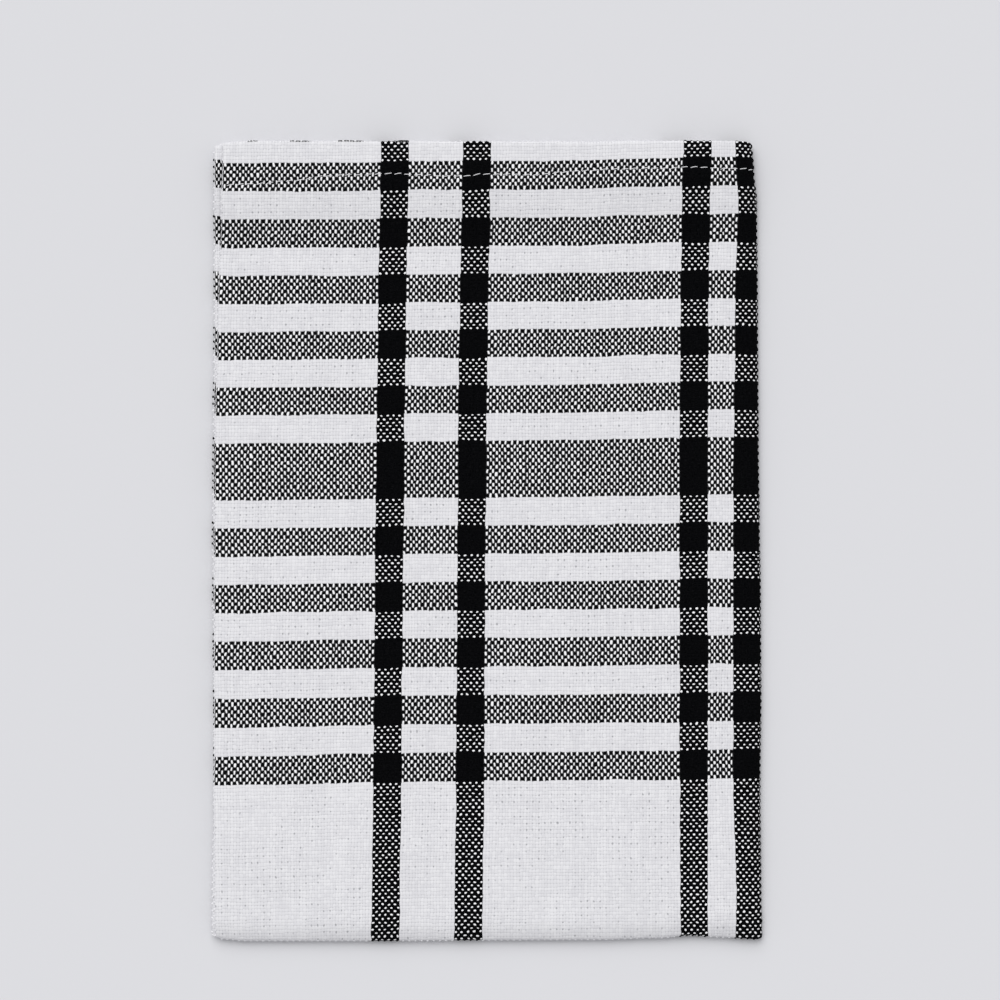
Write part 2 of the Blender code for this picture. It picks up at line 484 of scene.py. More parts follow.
def peeking(x):
    """1 where the band turned into the hem shows at its outer edge."""
    shown = np.zeros_like(x)
    for start, stop in HEM_PEEKS:
        shown = np.maximum(shown, smooth((x - start) / PEEK_FADE) * smooth((stop - x) / PEEK_FADE))
    return shown


def make_sheet():
    """The whole cloth as one closed mesh, with its yarn counts in the UV map Weave."""
    across, along = steps_across(), steps_along()
    wide, tall = len(across), len(along)
    c, r = np.meshgrid(across, along, indexing="ij")
    points, counts = [], []
    for face in (0.0, 1.0):
        place = lie(c, r, face)
        points.append(np.stack([place["x"], place["y"], place["z"]], -1).reshape(-1, 3))
        counts.append(np.stack([ends_at(place), picks_at(place)], -1).reshape(-1, 2))

    # Round the four cut or woven edges of the sheet
    ring = [(i, 0) for i in range(wide - 1)] + [(wide - 1, j) for j in range(tall - 1)]
    ring += [(i, tall - 1) for i in range(wide - 1, 0, -1)] + [(0, j) for j in range(tall - 1, 0, -1)]
    ring = np.array(ring)
    at_end = (ring[:, 1] == 0) | (ring[:, 1] == tall - 1)
    at_side = (ring[:, 0] == 0) | (ring[:, 0] == wide - 1)
    ring_r = along[ring[:, 1]]
    shows_band = (ring[:, 1] == 0) & (across[ring[:, 0]] < 1.5)
    ring_depth = np.minimum(ring_r, 3.0 - ring_r) * LEAF_LENGTH
    in_hem = at_side * (1.0 - smooth((ring_depth - SEAM_DEPTH) / HEM_GROOVE_FADE))
    for t in RIM_LINES:
        place = lie(across[ring[:, 0]], ring_r, t)
        bulge = math.sqrt(1.0 - (2.0 * t - 1.0) ** 2)
        groove = max(0.0, 1.0 - min(abs(t - middle) for middle in RIM_GROOVES) / GROOVE_WIDTH)
        x = place["x"] - EDGE_ROUND * at_side * (bulge - GROOVE_DEPTH * groove * in_hem)
        peek = peeking(x) * shows_band
        y = place["y"] + at_end * (END_ROUNDER * EDGE_ROUND * bulge + PEEK_PROUD * peek)
        points.append(np.stack([x, y, place["z"]], -1))
        e = ends_at(place) + np.where(ring[:, 0] == 0, -1.0, 1.0) * at_side * bulge * RIM_ENDS
        turned = t * HEM_SHEET / PICK_PITCH + peek * PEEK_PICKS
        p = picks_at(place) + np.where(ring[:, 1] == 0, -turned, turned) * at_end
        counts.append(np.stack([e, p], -1))

    faces = []
    i, j = np.meshgrid(np.arange(wide - 1), np.arange(tall - 1), indexing="ij")
    a = (i * tall + j).ravel()
    b, d, f = a + tall, a + tall + 1, a + 1
    size = wide * tall
    faces.append(np.stack([a, f, d, b], -1))
    faces.append(np.stack([a, b, d, f], -1) + size)
    base = ring[:, 0] * tall + ring[:, 1]
    lines = [base] + [2 * size + k * len(ring) + np.arange(len(ring)) for k in range(len(RIM_LINES))]
    lines.append(base + size)
    for here, there in zip(lines, lines[1:]):
        faces.append(np.stack([here, np.roll(here, -1), np.roll(there, -1), there], -1))
    return np.concatenate(points), np.concatenate(counts), np.concatenate(faces)


def make_piece(name, points, faces, smooth_shaded=True):
    mesh = bpy.data.meshes.new(name)
    mesh.from_pydata(points.tolist(), [], faces)
    mesh.update()
    mesh.polygons.foreach_set("use_smooth", [smooth_shaded] * len(mesh.polygons))
    piece = bpy.data.objects.new(name, mesh)
    bpy.context.scene.collection.objects.link(piece)
    return piece


def add_uv(piece, name, values):
    """A UV map with one value for each point of the mesh."""
    mesh = piece.data
    corner = np.empty(len(mesh.loops), int)
    mesh.loops.foreach_get("vertex_index", corner)
    layer = mesh.uv_layers.new(name=name)
    layer.data.foreach_set("uv", values[corner].astype(np.float32).ravel())


points, counts, faces = make_sheet()

# Into the part's frame: side folds together, ends centred, undersides together
shift = np.array([high[0] / MM - points[:, 0].max() - FOLD_INSIDE,
                  (low[1] + high[1]) / 2.0 / MM - (points[:, 1].max() + points[:, 1].min()) / 2.0,
                  low[2] / MM - points[:, 2].min()])
napkin = make_piece("napkin_cloth", (points + shift) * MM, faces.tolist())
mirrored = np.stack([MIDDLE_END - np.abs(counts[:, 0] - MIDDLE_END),
                     MIDDLE_PICK - np.abs(counts[:, 1] - MIDDLE_PICK)], -1)

# One map of a quarter of the cloth, with a margin, serves all four quarters and both faces
BAKE_LOW = np.array([-1.5, -14.5])
BAKE_HIGH = np.array([MIDDLE_END + 1.0, MIDDLE_PICK + 1.0])
add_uv(napkin, "OFBake", (mirrored - BAKE_LOW) / (BAKE_HIGH - BAKE_LOW))
add_uv(napkin, "Weave", counts)
print("sheet", len(points), "points", len(faces) * 2, "triangles")
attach(napkin, "root")
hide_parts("napkin")

# Sewing thread: one line of lockstitch along each hem
STITCH_PITCH = 4.06
STITCH_SHOWN = 3.5
STITCH_START = 1.4
THREAD_WIDE, THREAD_TALL = 0.16, 0.13
STITCH_LIFT = 0.55      # share of the thread's height by which its middle lies above the cloth
STITCH_SINK = 0.26      # how far the ends of a stitch go in
STITCH_TAPER = 0.35     # share by which the thread thins there
STITCH_SLANT = 0.42     # sideways from one end to the other, uneven by the next
SLANT_UNEVEN = 0.7
STITCH_BEND = 0.5
STITCH_STRAY = 0.08
STITCH_RINGS = 9
STITCH_SIDES = 8
SEAM_POINTS = 3000


def seam_line(r_end):
    """Points and outward directions along a hem's line of stitches, and the length to each."""
    across = np.linspace(0.0, 3.0, SEAM_POINTS)
    share = SEAM_DEPTH / LEAF_LENGTH
    along = np.full_like(across, share if r_end == 0 else 3.0 - share)
    front, back = lie(across, along, 0.0), lie(across, along, 1.0)
    line = np.stack([front[k] for k in "xyz"], -1)
    out = line - np.stack([back[k] for k in "xyz"], -1)
    out /= np.linalg.norm(out, axis=1, keepdims=True)
    length = np.concatenate([[0.0], np.cumsum(np.linalg.norm(np.diff(line, axis=0), axis=1))])
    return line, out, length


def make_stitches():
    points, faces = [], []
    ring_at = np.linspace(0.0, 1.0, STITCH_RINGS)
    from_middle = np.abs(2.0 * ring_at - 1.0)
    taper = 1.0 - STITCH_TAPER * from_middle ** 4
    rise = THREAD_TALL * STITCH_LIFT - (STITCH_SINK + THREAD_TALL) * from_middle ** 6
    around = np.linspace(0.0, 2.0 * np.pi, STITCH_SIDES, endpoint=False)
    side = np.array([0.0, 1.0, 0.0])
    for r_end in (0, 1):
        line, out, length = seam_line(r_end)
        count = int((length[-1] - 2.0 * STITCH_START) / STITCH_PITCH)
        for k in range(count):
            start = STITCH_START + k * STITCH_PITCH
            s = start + ring_at * STITCH_SHOWN
            spine = np.stack([np.interp(s, length, line[:, n]) for n in range(3)], -1)
            normal = np.stack([np.interp(s, length, out[:, n]) for n in range(3)], -1)
            slant = STITCH_SLANT * (ring_at - 0.5) * (1.0 + SLANT_UNEVEN * math.sin(k * 2.3))
            slant = slant - STITCH_BEND * (ring_at - 0.5) ** 2 * (1.0 + math.sin(k * 1.9))
            spine = spine + normal * rise[:, None]
            spine[:, 1] += slant + STITCH_STRAY * math.sin(k * 1.37)
            first = len(points) * STITCH_SIDES
            for centre, up, size in zip(spine, normal, taper):
                ring = centre + size * (THREAD_WIDE * np.cos(around)[:, None] * side
                                        + THREAD_TALL * np.sin(around)[:, None] * up)
                points.append(ring)
            for m in range(STITCH_RINGS - 1):
                here = first + m * STITCH_SIDES
                there = here + STITCH_SIDES
                for n in range(STITCH_SIDES):
                    near = (n + 1) % STITCH_SIDES
                    faces.append((here + n, there + n, there + near, here + near))
    return np.concatenate(points), faces


stitch_points, stitch_faces = make_stitches()
stitches = make_piece("hem_stitches", (stitch_points + shift) * MM, stitch_faces)
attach(stitches, "root")


# Yarns standing proud along the cloth's edges and folds
TURN_HALF = (0.62, 0.70, 0.46)      # weft turning back at a selvedge: along it, outwards, through it
TOP_TURN_OUT = 0.42                 # the same outwards on the top layer, where the turns are drawn tight
FLOAT_HALF = (0.86, 0.50, 0.46)     # warp float on the side fold
CREST_HALF = (0.52, 0.34, 0.62)     # warp end passing over an end fold or a hem's edge
TURN_OUT = 0.8                      # share of the selvedge's roundness at which a turn is centred
FLOAT_IN = 0.05                     # a float's middle lies this far inside the fold
BEAD_SIDES, BEAD_RINGS = 8, 4
LONG_LINE, FOLD_LINE, SHORT_LINE = 6001, 4001, 3001     # points along an edge
PICKS_PAST = 8.0                    # picks beyond the first and last dark bands
FOLD_STOP = 0.985                   # floats end just before the corner
SPANS = ((0.01, 0.995), (2.005, 2.99))   # across the upper flat, then the lower one


def mirror(count, middle):
    """Number of the yarn at a count, the cloth being the same either side of its middle."""
    return np.floor(middle - np.abs(count - middle))


def within(number, rows):
    """Whether each yarn is in one of the dark rows."""
    found = np.zeros(number.shape, bool)
    for first, last in rows:
        found |= (number >= first) & (number < last)
    return found


def edge_line(c, r, by_end):
    """Points and yarn counts along one line of the sheet, c or r being an array."""
    c, r = np.broadcast_arrays(np.asarray(c, float), np.asarray(r, float))
    middle, front = lie(c, r, 0.5), lie(c, r, 0.0)
    return {"mid": np.stack([middle[k] for k in "xyz"], -1),
            "front": np.stack([front[k] for k in "xyz"], -1),
            "count": ends_at(middle) if by_end else picks_at(middle),
            "other": picks_at(middle) if by_end else ends_at(middle)}


def at_counts(line, wanted, name):
    """Those of the wanted counts that the line has, and its points there."""
    order = np.argsort(line["count"])
    count = line["count"][order]
    wanted = wanted[(wanted > count[0]) & (wanted < count[-1])]
    values = line[name][order]
    return wanted, np.stack([np.interp(wanted, count, values[:, k]) for k in range(3)], -1)


def bead(centre, along, out, half):
    """Points of a small ellipsoid of yarn."""
    across = np.cross(along, out)
    points = [centre + half[0] * along]
    for ring in range(1, BEAD_RINGS):
        tilt = np.pi * ring / BEAD_RINGS
        for side in range(BEAD_SIDES):
            turn = 2.0 * np.pi * side / BEAD_SIDES
            points.append(centre + half[0] * math.cos(tilt) * along
                          + half[1] * math.sin(tilt) * math.cos(turn) * out
                          + half[2] * math.sin(tilt) * math.sin(turn) * across)
    points.append(centre - half[0] * along)
    return points


def bead_faces():
    """The faces between a bead's points."""
    faces = [(0, 1 + (n + 1) % BEAD_SIDES, 1 + n) for n in range(BEAD_SIDES)]
    for ring in range(BEAD_RINGS - 2):
        first = 1 + ring * BEAD_SIDES
        for n in range(BEAD_SIDES):
            near = (n + 1) % BEAD_SIDES
            faces.append((first + n, first + near, first + BEAD_SIDES + near, first + BEAD_SIDES + n))
    last = 1 + (BEAD_RINGS - 1) * BEAD_SIDES
    start = last - BEAD_SIDES
    return faces + [(start + n, start + (n + 1) % BEAD_SIDES, last) for n in range(BEAD_SIDES)]


def proud_yarns():
    """Beads of yarn along selvedges, folds and hem edges, kept apart as light and dark ones."""
    found = {"light": [], "dark": []}
    y_axis, x_axis = np.array([0.0, 1.0, 0.0]), np.array([1.0, 0.0, 0.0])
    pairs = np.arange(-PICKS_PAST, PICKS + PICKS_PAST, 2.0)

    # Weft turning back at both selvedges, once in two picks
    for c, first in ((0.0, 1.0), (3.0, 2.0)):
        line = edge_line(c, np.linspace(0.0, 3.0, LONG_LINE), by_end=False)
        wanted, centres = at_counts(line, pairs + first, "mid")
        dark = within(mirror(wanted - 0.5, MIDDLE_PICK), BANDS)
        for k, centre in enumerate(centres):
            along = centres[min(k + 1, len(centres) - 1)] - centres[max(k - 1, 0)]
            along /= np.linalg.norm(along)
            size = 1.0 + 0.16 * math.sin(k * 2.7) + 0.10 * math.sin(k * 0.9)
            on_top = c == 0.0 and wanted[k] < MIDDLE_PICK
            half = [TURN_HALF[0], size * (TOP_TURN_OUT if on_top else TURN_HALF[1]), TURN_HALF[2]]
            shade = "dark" if dark[k] else "light"
            found[shade].append(bead(centre - x_axis * EDGE_ROUND * TURN_OUT, along, -x_axis, half))

    # Warp floats on the side fold
    line = edge_line(1.5, np.linspace(0.0, FOLD_STOP, FOLD_LINE), by_end=False)
    side_end = np.floor(np.median(line["other"]))
    wanted = np.arange(-PICKS_PAST, MIDDLE_PICK, 2.0) + side_end % 2.0 + 0.5
    centres = at_counts(line, wanted, "front")[1]
    for k, centre in enumerate(centres):
        slant = np.array([0.12 * math.sin(k * 1.9), 1.0, 0.16 * math.sin(k * 2.3)])
        size = 1.0 + 0.14 * math.sin(k * 3.1)
        half = [FLOAT_HALF[0], FLOAT_HALF[1], FLOAT_HALF[2] * size]
        slant /= np.linalg.norm(slant)
        found["dark"].append(bead(centre - x_axis * FLOAT_IN, slant, x_axis, half))

    # Warp ends passing over the end folds and the hems' outer edges
    for r, out in ((1.5, -y_axis), (0.0, y_axis), (3.0, y_axis)):
        for low_c, high_c in SPANS:
            line = edge_line(np.linspace(low_c, high_c, SHORT_LINE), r, by_end=True)
            name, proud = ("front", 0.0) if r == 1.5 else ("mid", EDGE_ROUND)
            wanted, centres = at_counts(line, np.arange(0.0, ENDS, 2.0) + 0.5, name)
            dark = within(mirror(wanted, MIDDLE_END), STRIPES)
            shown = peeking(centres[:, 0]) > 0.5 if (r == 0.0 and low_c < 1.0) else dark
            for k, centre in enumerate(centres):
                shade = "dark" if dark[k] or shown[k] else "light"
                size = 1.0 + 0.15 * math.sin(k * 2.1)
                half = [CREST_HALF[0] * size, CREST_HALF[1], CREST_HALF[2]]
                found[shade].append(bead(centre + out * proud, x_axis, out, half))
    return found


for shade, beads in proud_yarns().items():
    bead_points = np.array(beads).reshape(-1, 3) + shift
    bead_points[:, 2] = np.maximum(bead_points[:, 2], 0.0)
    firsts = [k * len(beads[0]) for k in range(len(beads))]
    yarn_faces = [tuple(v + first for v in face) for first in firsts for face in bead_faces()]
    edge_yarns = make_piece("edge_yarns_" + shade, bead_points * MM, yarn_faces)
    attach(edge_yarns, "root")
    print("edge yarns", shade, len(beads), "beads")


class Graph:
    """Short names for building a material's nodes."""

    def __init__(self, name):
        self.material = bpy.data.materials.new(name)
        self.material.use_nodes = True
        self.nodes = self.material.node_tree.nodes
        self.links = self.material.node_tree.links
        self.shader = self.nodes["Principled BSDF"]

    def feed(self, socket, value):
        if isinstance(value, bpy.types.NodeSocket):
            self.links.new(value, socket)
        else:
            socket.default_value = value

    def math(self, operation, a, b=0.0, clamp=False):
        """One sum on two numbers or sockets, kept from 0 to 1 by clamp."""
        node = self.nodes.new("ShaderNodeMath")
        node.operation = operation
        node.use_clamp = clamp
        self.feed(node.inputs[0], a)
        self.feed(node.inputs[1], b)
        return node.outputs[0]

    def add(self, a, b):
        return self.math("ADD", a, b)

    def sub(self, a, b):
        return self.math("SUBTRACT", a, b)

    def mul(self, a, b):
        return self.math("MULTIPLY", a, b)

    def sum(self, *values):
        total = values[0]
        for value in values[1:]:
            total = self.add(total, value)
        return total

    def step(self, value, start, stop):
        """0 at start, 1 at stop, smooth between."""
        node = self.nodes.new("ShaderNodeMapRange")
        node.interpolation_type = "SMOOTHSTEP"
        self.feed(node.inputs["Value"], value)
        self.feed(node.inputs["From Min"], start)
        self.feed(node.inputs["From Max"], stop)
        return node.outputs["Result"]

    def inside(self, value, first, last):
        """1 where first <= value < last."""
        over = self.math("GREATER_THAN", value, first - 0.25)
        return self.mul(over, self.math("LESS_THAN", value, last - 0.25))

    def pair(self, a, b, c=0.0):
        node = self.nodes.new("ShaderNodeCombineXYZ")
        for socket, value in zip(node.inputs, (a, b, c)):
            self.feed(socket, value)
        return node.outputs[0]

    def noise(self, vector, scale, detail=1.0):
        """Smooth noise about zero."""
        node = self.nodes.new("ShaderNodeTexNoise")
        node.noise_dimensions = "3D"
        self.feed(node.inputs["Vector"], vector)
        node.inputs["Scale"].default_value = scale
        node.inputs["Detail"].default_value = detail
        node.inputs["Roughness"].default_value = 0.5
        return self.sub(node.outputs["Fac"], 0.5)

    def chance(self, vector):
        """A number from -0.5 to 0.5, fixed for each whole vector."""
        node = self.nodes.new("ShaderNodeTexWhiteNoise")
        node.noise_dimensions = "3D"
        self.feed(node.inputs["Vector"], vector)
        return self.sub(node.outputs["Value"], 0.5)

    def mix(self, a, b, share):
        node = self.nodes.new("ShaderNodeMix")
        node.data_type = "RGBA"
        self.feed(node.inputs[0], share)
        self.feed(node.inputs[6], a)
        self.feed(node.inputs[7], b)
        return node.outputs[2]

    def blend(self, a, b, share):
        """Number a where share is 0, b where it is 1."""
        return self.add(a, self.mul(self.sub(b, a), share))

    def bump(self, height, strength, distance):
        """Relief on the shader's surface."""
        node = self.nodes.new("ShaderNodeBump")
        node.inputs["Strength"].default_value = strength
        node.inputs["Distance"].default_value = distance
        self.feed(node.inputs["Height"], height)
        self.feed(self.shader.inputs["Normal"], node.outputs[0])


# Half sizes of one float of yarn, as shares of the pitch: across and along the yarn
WARP_HALF_WIDTH, WARP_HALF_LENGTH = 0.290, 0.495
WEFT_HALF_WIDTH, WEFT_HALF_LENGTH = 0.247, 0.386
DARK_WEFT_WIDER, DARK_WEFT_LONGER = 0.178, 0.159
DARK_TURN_REACH = -0.30     # how far past the last warp end the dark weft shows, in ends
FLOAT_TILT = 0.42
# Wander of the yarns: each along its length, then all together in patches
END_WANDER, PICK_WANDER = (0.62, 0.66), (0.75, 0.60)
# Unevenness of the yarns: one from another, along each, and float by float
WARP_UNEVEN, WEFT_UNEVEN = (0.16, 0.60, 0.34), (0.20, 0.60, 0.28)
TOP_SOFT = 0.10             # softness of the line where one float goes under the next
COVER_FROM, COVER_TO = -0.22, 0.18      # height at which yarn starts to hide the gap and its painted shade, and hides it
DARK_WEFT_UNDER_AND_SHADE = 0.92      # darkness of gaps over dark weft: partly the weft beneath, partly painted shade
# Tone of the white yarns: patches, yarn by yarn, float by float, and along the fibres
TONE_PATCH, TONE_YARN, TONE_FLOAT, TONE_FIBRE = 0.9, 0.35, 0.85, 0.7
SQUARE_SOFT = 0.55
FAINT_BASE, FAINT_PATCH = 0.24, 1.9     # how far the squares fade out, and in patches
PIN_EDGE, PIN_CLEAR = 0.13, 0.02        # pin-hole: squares of its outer and inner radius
PIN_SHUT, PIN_OPEN, PIN_PATCH = -0.12, 0.52, 1.6
PIN_HEM = (-2.0, 4.0)       # picks over which pin-holes fade out towards the hem
GLINT_BASE, GLINT_FIBRE = 0.22, 1.8         # share of the black painted with lit glints, and its change along the fibres
WHITE_YARN = (0.785, 0.78, 0.80, 1.0)
WHITE_YARN_DULL = (0.705, 0.70, 0.725, 1.0)
# Brighter white of floats among dark yarns: a painted highlight on their crowns
WHITE_CROWN_PAINTED_HIGHLIGHT = (0.93, 0.93, 0.94, 1.0)
# Grey of the gaps between white floats: painted shade
WHITE_GAP_PAINTED_SHADE = (0.53, 0.53, 0.555, 1.0)
# Grey of the pin-holes: painted shade seen through them
PIN_HOLE_PAINTED_SHADE = (0.41, 0.41, 0.43, 1.0)
BLACK_YARN = (0.0006, 0.0007, 0.0010, 1.0)
# Black yarn painted as lit: painted glints along its fibres
BLACK_YARN_PAINTED_GLINT = (0.0085, 0.0084, 0.0095, 1.0)
YARN_RELIEF, YARN_BUMP = 0.26 * MM, 0.42
SQUARE_RELIEF, FIBRE_RELIEF, RELIEF_FLOOR = 0.7, 0.35, -0.6
YARN_ROUGH, YARN_SHINE = 0.90, 0.02
THREAD_WHITE, THREAD_SHADE = (0.84, 0.84, 0.85, 1.0), (0.62, 0.62, 0.64, 1.0)
THREAD_TWIST, THREAD_RELIEF = 0.5 * MM, 0.05 * MM
THREAD_FLECKS, YARN_FLECKS = 2600.0, 1900.0     # to the metre


def weave_material():
    """The woven cloth: every float drawn by itself from the yarn counts held in the UV map."""
    g = Graph("woven_cotton")
    uv = g.nodes.new("ShaderNodeUVMap")
    uv.uv_map = "Weave"
    split = g.nodes.new("ShaderNodeSeparateXYZ")
    g.links.new(uv.outputs[0], split.inputs[0])

    # The cloth is the same either side of its two middle lines
    end = g.sub(MIDDLE_END, g.math("ABSOLUTE", g.sub(split.outputs[0], MIDDLE_END)))
    pick = g.sub(MIDDLE_PICK, g.math("ABSOLUTE", g.sub(split.outputs[1], MIDDLE_PICK)))

    # Yarns wander a little; the last number of each pair keeps one noise unlike another
    end_run = g.noise(g.pair(end, g.mul(pick, 0.16), 3.0), 0.55)
    pick_run = g.noise(g.pair(g.mul(end, 0.13), pick, 7.0), 0.55)
    patch_end = g.noise(g.pair(end, pick, 11.0), 0.42)
    patch_pick = g.noise(g.pair(end, pick, 19.0), 0.42)
    end = g.sum(end, g.mul(end_run, END_WANDER[0]), g.mul(patch_end, END_WANDER[1]))
    pick = g.sum(pick, g.mul(pick_run, PICK_WANDER[0]), g.mul(patch_pick, PICK_WANDER[1]))

    end_number = g.math("FLOOR", end)
    pick_number = g.math("FLOOR", pick)
    across = g.sub(g.sub(end, end_number), 0.5)
    along = g.sub(g.sub(pick, pick_number), 0.5)
    both = g.add(end_number, pick_number)
    weft_over = g.math("GREATER_THAN", g.math("FLOORED_MODULO", both, 2.0), 0.5)

    # Thick and thin yarns, thick and thin places along them, and each float a little unlike the next
    warp_run = g.noise(g.pair(end_number, g.mul(pick, 0.22), 23.0), 1.0)
    warp_size = g.sum(1.0, g.mul(g.chance(g.pair(end_number, 0.0, 1.0)), WARP_UNEVEN[0]),
                      g.mul(warp_run, WARP_UNEVEN[1]),
                      g.mul(g.chance(g.pair(end_number, pick_number, 5.0)), WARP_UNEVEN[2]))
    weft_run = g.noise(g.pair(g.mul(end, 0.2), pick_number, 31.0), 1.0)
    weft_size = g.sum(1.0, g.mul(g.chance(g.pair(0.0, pick_number, 2.0)), WEFT_UNEVEN[0]),
                      g.mul(weft_run, WEFT_UNEVEN[1]),
                      g.mul(g.chance(g.pair(end_number, pick_number, 9.0)), WEFT_UNEVEN[2]))

    # Height of the nearer warp float and weft float above the gaps between them
    far_along = g.sub(g.math("ABSOLUTE", along), 1.0)
    far_across = g.sub(g.math("ABSOLUTE", across), 1.0)
    warp_along = g.blend(along, far_along, weft_over)
    weft_across = g.blend(far_across, across, weft_over)

    def dark(number, rows):
        total = 0.0
        for first, last in rows:
            total = g.add(total, g.inside(number, first, last))
        return total

    dark_warp = dark(end_number, STRIPES)
    dark_weft = g.mul(dark(pick_number, BANDS), g.math("GREATER_THAN", end, DARK_TURN_REACH))

    def height(width, half_width, length, half_length, size, blunt=False):
        w = g.math("DIVIDE", width, g.mul(size, half_width))
        n = g.math("DIVIDE", length, half_length)
        w, n = g.mul(w, w), g.mul(n, n)
        if blunt:
            return g.sub(1.0, g.math("SQRT", g.add(g.mul(w, w), g.mul(n, n))))
        return g.sub(1.0, g.add(w, n))

    tilt = g.mul(g.chance(g.pair(end_number, pick_number, 14.0)), FLOAT_TILT)
    warp = height(g.add(across, g.mul(warp_along, tilt)), WARP_HALF_WIDTH,
                  warp_along, WARP_HALF_LENGTH, warp_size, blunt=True)
    weft = height(g.add(along, g.mul(weft_across, tilt)),
                  g.add(WEFT_HALF_WIDTH, g.mul(dark_weft, DARK_WEFT_WIDER)), weft_across,
                  g.add(WEFT_HALF_LENGTH, g.mul(dark_weft, DARK_WEFT_LONGER)), weft_size)
    weft_on_top = g.step(g.sub(weft, warp), -TOP_SOFT, TOP_SOFT)
    top = g.math("MAXIMUM", warp, weft)
    covered = g.step(top, COVER_FROM, COVER_TO)
    covered = g.math("MAXIMUM", covered, g.math("LESS_THAN", end_number, -0.5))
    dark_top = g.blend(dark_warp, dark_weft, weft_on_top)
    dark_near = g.math("MAXIMUM", dark_warp, dark_weft)
    # Gaps next to dark yarns are darkened: partly the dark yarn beneath, partly painted shade
    dark_under_and_shade = g.math("MAXIMUM", dark_warp, g.mul(dark_weft, DARK_WEFT_UNDER_AND_SHADE))
    dark_here = g.blend(dark_under_and_shade, dark_top, covered)

    # Fibres run along each yarn
    warp_fibre = g.noise(g.pair(g.mul(end, 7.0), g.mul(pick, 0.9), 41.0), 1.0, 2.0)
    weft_fibre = g.noise(g.pair(g.mul(end, 0.9), g.mul(pick, 7.0), 43.0), 1.0, 2.0)
    fibre = g.blend(warp_fibre, weft_fibre, weft_on_top)
    tone = g.sum(0.5, g.mul(g.noise(g.pair(end, pick, 51.0), 0.12, 2.0), TONE_PATCH),
                 g.mul(g.chance(g.pair(end_number, 0.0, 53.0)), TONE_YARN),
                 g.mul(g.chance(g.pair(0.0, pick_number, 57.0)), TONE_YARN),
                 g.mul(g.chance(g.pair(end_number, pick_number, 59.0)), TONE_FLOAT))
    tone = g.math("ADD", tone, g.mul(fibre, TONE_FIBRE), clamp=True)
    light = g.mix(WHITE_YARN_DULL, WHITE_YARN, tone)
    # White floats among dark yarns get a painted highlight on their crowns
    light = g.mix(light, WHITE_CROWN_PAINTED_HIGHLIGHT, dark_near)

    # White on white, every float shows as a small soft square parted by faint lines of painted shade in
    # the gaps
    a, b = g.mul(across, 2.0), g.mul(along, 2.0)
    a, b = g.mul(g.mul(a, a), g.mul(a, a)), g.mul(g.mul(b, b), g.mul(b, b))
    square = g.sub(1.0, g.add(a, b))
    on_square = g.step(square, -SQUARE_SOFT, SQUARE_SOFT)
    faint = g.mul(g.noise(g.pair(end, pick, 71.0), 0.11, 3.0), FAINT_PATCH)
    faint = g.math("ADD", FAINT_BASE, faint, clamp=True)
    on_square = g.blend(on_square, 1.0, faint)
    light = g.mix(WHITE_GAP_PAINTED_SHADE, light, g.blend(on_square, covered, dark_near))

    # Pin-holes where four yarns meet, open here and there, painted as grey shade
    def to_even(value):
        return g.mul(g.math("ROUND", g.mul(value, 0.5)), 2.0)

    even_end, even_pick = to_even(end), to_even(pick)
    off_end, off_pick = g.sub(end, even_end), g.sub(pick, even_pick)
    hole = g.step(g.add(g.mul(off_end, off_end), g.mul(off_pick, off_pick)), PIN_EDGE, PIN_CLEAR)
    open_here = g.add(g.chance(g.pair(even_end, even_pick, 61.0)),
                      g.mul(g.noise(g.pair(end, pick, 67.0), 0.05, 2.0), PIN_PATCH))
    hole = g.mul(g.mul(hole, g.step(open_here, PIN_SHUT, PIN_OPEN)), g.sub(1.0, dark_near))
    hole = g.mul(hole, g.step(pick, *PIN_HEM))
    light = g.mix(light, PIN_HOLE_PAINTED_SHADE, hole)
    # Painted glints on the black yarns, following their fibres
    fleck_and_glint = g.math("ADD", GLINT_BASE, g.mul(fibre, GLINT_FIBRE), clamp=True)
    black = g.mix(BLACK_YARN, BLACK_YARN_PAINTED_GLINT, fleck_and_glint)
    g.feed(g.shader.inputs["Base Color"], g.mix(light, black, dark_here))

    floats = g.math("MAXIMUM", top, RELIEF_FLOOR)
    relief = g.blend(g.mul(square, SQUARE_RELIEF), floats, dark_near)
    g.bump(g.add(relief, g.mul(fibre, FIBRE_RELIEF)), YARN_BUMP, YARN_RELIEF)
    g.feed(g.shader.inputs["Roughness"], g.add(YARN_ROUGH, g.mul(fibre, 0.12)))
    g.shader.inputs["Specular IOR Level"].default_value = YARN_SHINE
    return g.material


def thread_material():
    """White sewing thread with its twist."""
    g = Graph("sewing_cotton")
    place = g.nodes.new("ShaderNodeTexCoord").outputs["Object"]
    split = g.nodes.new("ShaderNodeSeparateXYZ")
    g.links.new(place, split.inputs[0])
    slanting = g.sum(split.outputs[0], g.mul(split.outputs[1], 1.3), split.outputs[2])
    twist = g.math("SINE", g.mul(slanting, 2.0 * math.pi / THREAD_TWIST))
    fleck = g.noise(place, THREAD_FLECKS, 2.0)
    # The twist shows as painted shade in its grooves, with random flecks of tone
    share = g.math("ADD", g.add(0.6, g.mul(twist, 0.25)), g.mul(fleck, 0.6), clamp=True)
    g.feed(g.shader.inputs["Base Color"], g.mix(THREAD_SHADE, THREAD_WHITE, share))
    g.bump(twist, 0.5, THREAD_RELIEF)
    g.feed(g.shader.inputs["Roughness"], g.add(0.75, g.mul(fleck, 0.2)))
    g.shader.inputs["Specular IOR Level"].default_value = 0.3
    return g.material


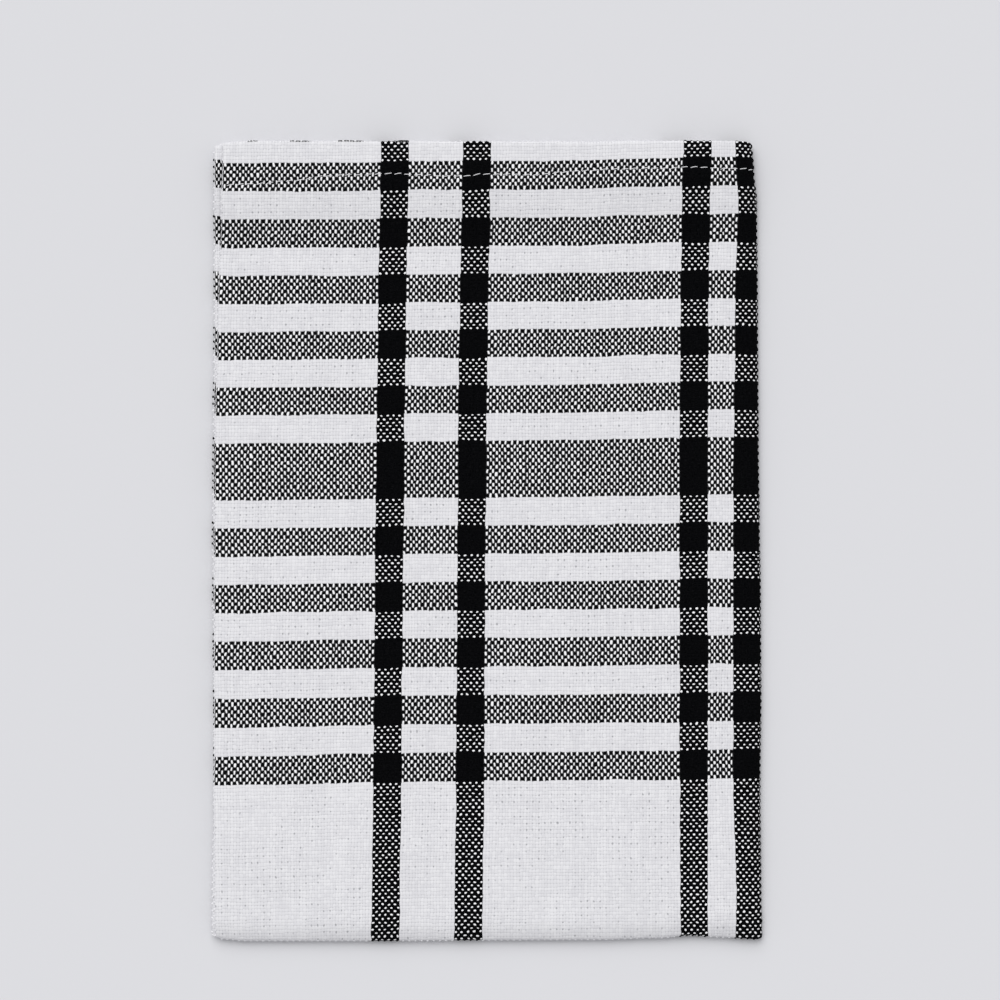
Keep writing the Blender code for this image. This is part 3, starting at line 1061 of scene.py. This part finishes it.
def yarn_material(name, colour, fleck_and_glint):
    """Plain yarn flecked with a second colour: a cleaner white on the light yarn, painted glints on the
    dark yarn.
    """
    g = Graph(name)
    place = g.nodes.new("ShaderNodeTexCoord").outputs["Object"]
    fleck = g.noise(place, YARN_FLECKS, 2.0)
    g.feed(g.shader.inputs["Base Color"], g.mix(colour, fleck_and_glint, g.math("ADD", 0.5, fleck, clamp=True)))
    g.shader.inputs["Roughness"].default_value = YARN_ROUGH
    g.shader.inputs["Specular IOR Level"].default_value = YARN_SHINE
    return g.material


napkin.data.materials.append(weave_material())
bpy.data.objects["edge_yarns_light"].data.materials.append(
    yarn_material("light_yarn", WHITE_YARN_DULL, WHITE_YARN))
# The dark edge yarns are flecked with painted glints
bpy.data.objects["edge_yarns_dark"].data.materials.append(
    yarn_material("dark_yarn", BLACK_YARN, BLACK_YARN_PAINTED_GLINT))
stitches.data.materials.append(thread_material())


# Stage: pale floor, soft light all round and from above, camera straight above
PHOTO_WIDTH = 1000
MM_PER_PIXEL = 0.4108
CENTRE_COLUMN, CENTRE_ROW = 487.0, 541.0
CAMERA_HEIGHT = 1.6
SENSOR_WIDTH = 36.0
TOP_LAYER = 0.005           # height at which the picture's scale holds
FLOOR_SIZE = 6.0
FLOOR_DROP = 0.0001         # keeps the floor and the cloth's flat underside apart
FLOOR_COLOUR, FLOOR_ROUGH, FLOOR_SHINE = (0.70, 0.70, 0.722, 1.0), 0.9, 0.1
WINDOW_BEARING, WINDOW_SLOPE, WINDOW_BREADTH = 108.0, 44.0, 60.0
WINDOW_POWER = 2.0
ROOM_COLOUR, ROOM_POWER = (0.98, 0.985, 1.0, 1.0), 0.585


def make_floor():
    half = FLOOR_SIZE / 2.0
    corners = np.array([(-half, -half, -FLOOR_DROP), (half, -half, -FLOOR_DROP),
                        (half, half, -FLOOR_DROP), (-half, half, -FLOOR_DROP)])
    floor = make_piece("floor", corners, [(0, 1, 2, 3)], smooth_shaded=False)
    g = Graph("floor_paper")
    g.shader.inputs["Base Color"].default_value = FLOOR_COLOUR
    g.shader.inputs["Roughness"].default_value = FLOOR_ROUGH
    g.shader.inputs["Specular IOR Level"].default_value = FLOOR_SHINE
    floor.data.materials.append(g.material)


def make_light(name, bearing, slope, breadth, power):
    """A broad far light: its bearing round the floor from +X and its slope off straight above."""
    light = bpy.data.lights.new(name, "SUN")
    light.angle = math.radians(breadth)
    light.energy = power
    lamp = bpy.data.objects.new(name, light)
    lamp.rotation_euler = (0.0, math.radians(slope), math.radians(bearing))
    bpy.context.scene.collection.objects.link(lamp)


def make_camera():
    camera = bpy.data.cameras.new("camera")
    camera.sensor_width = SENSOR_WIDTH
    view_width = PHOTO_WIDTH * MM_PER_PIXEL * MM
    camera.lens = SENSOR_WIDTH * (CAMERA_HEIGHT - TOP_LAYER) / view_width
    eye = bpy.data.objects.new("camera", camera)
    x = (PHOTO_WIDTH / 2.0 - CENTRE_COLUMN) * MM_PER_PIXEL * MM
    y = (CENTRE_ROW - PHOTO_WIDTH / 2.0) * MM_PER_PIXEL * MM
    eye.location = (x, y, CAMERA_HEIGHT)
    bpy.context.scene.collection.objects.link(eye)
    bpy.context.scene.camera = eye


make_floor()
make_light("window", WINDOW_BEARING, WINDOW_SLOPE, WINDOW_BREADTH, WINDOW_POWER)
make_camera()
world = bpy.data.worlds.new("soft")
world.use_nodes = True
world.node_tree.nodes["Background"].inputs[0].default_value = ROOM_COLOUR
world.node_tree.nodes["Background"].inputs[1].default_value = ROOM_POWER
bpy.context.scene.world = world
bpy.context.scene.view_settings.view_transform = "Standard"
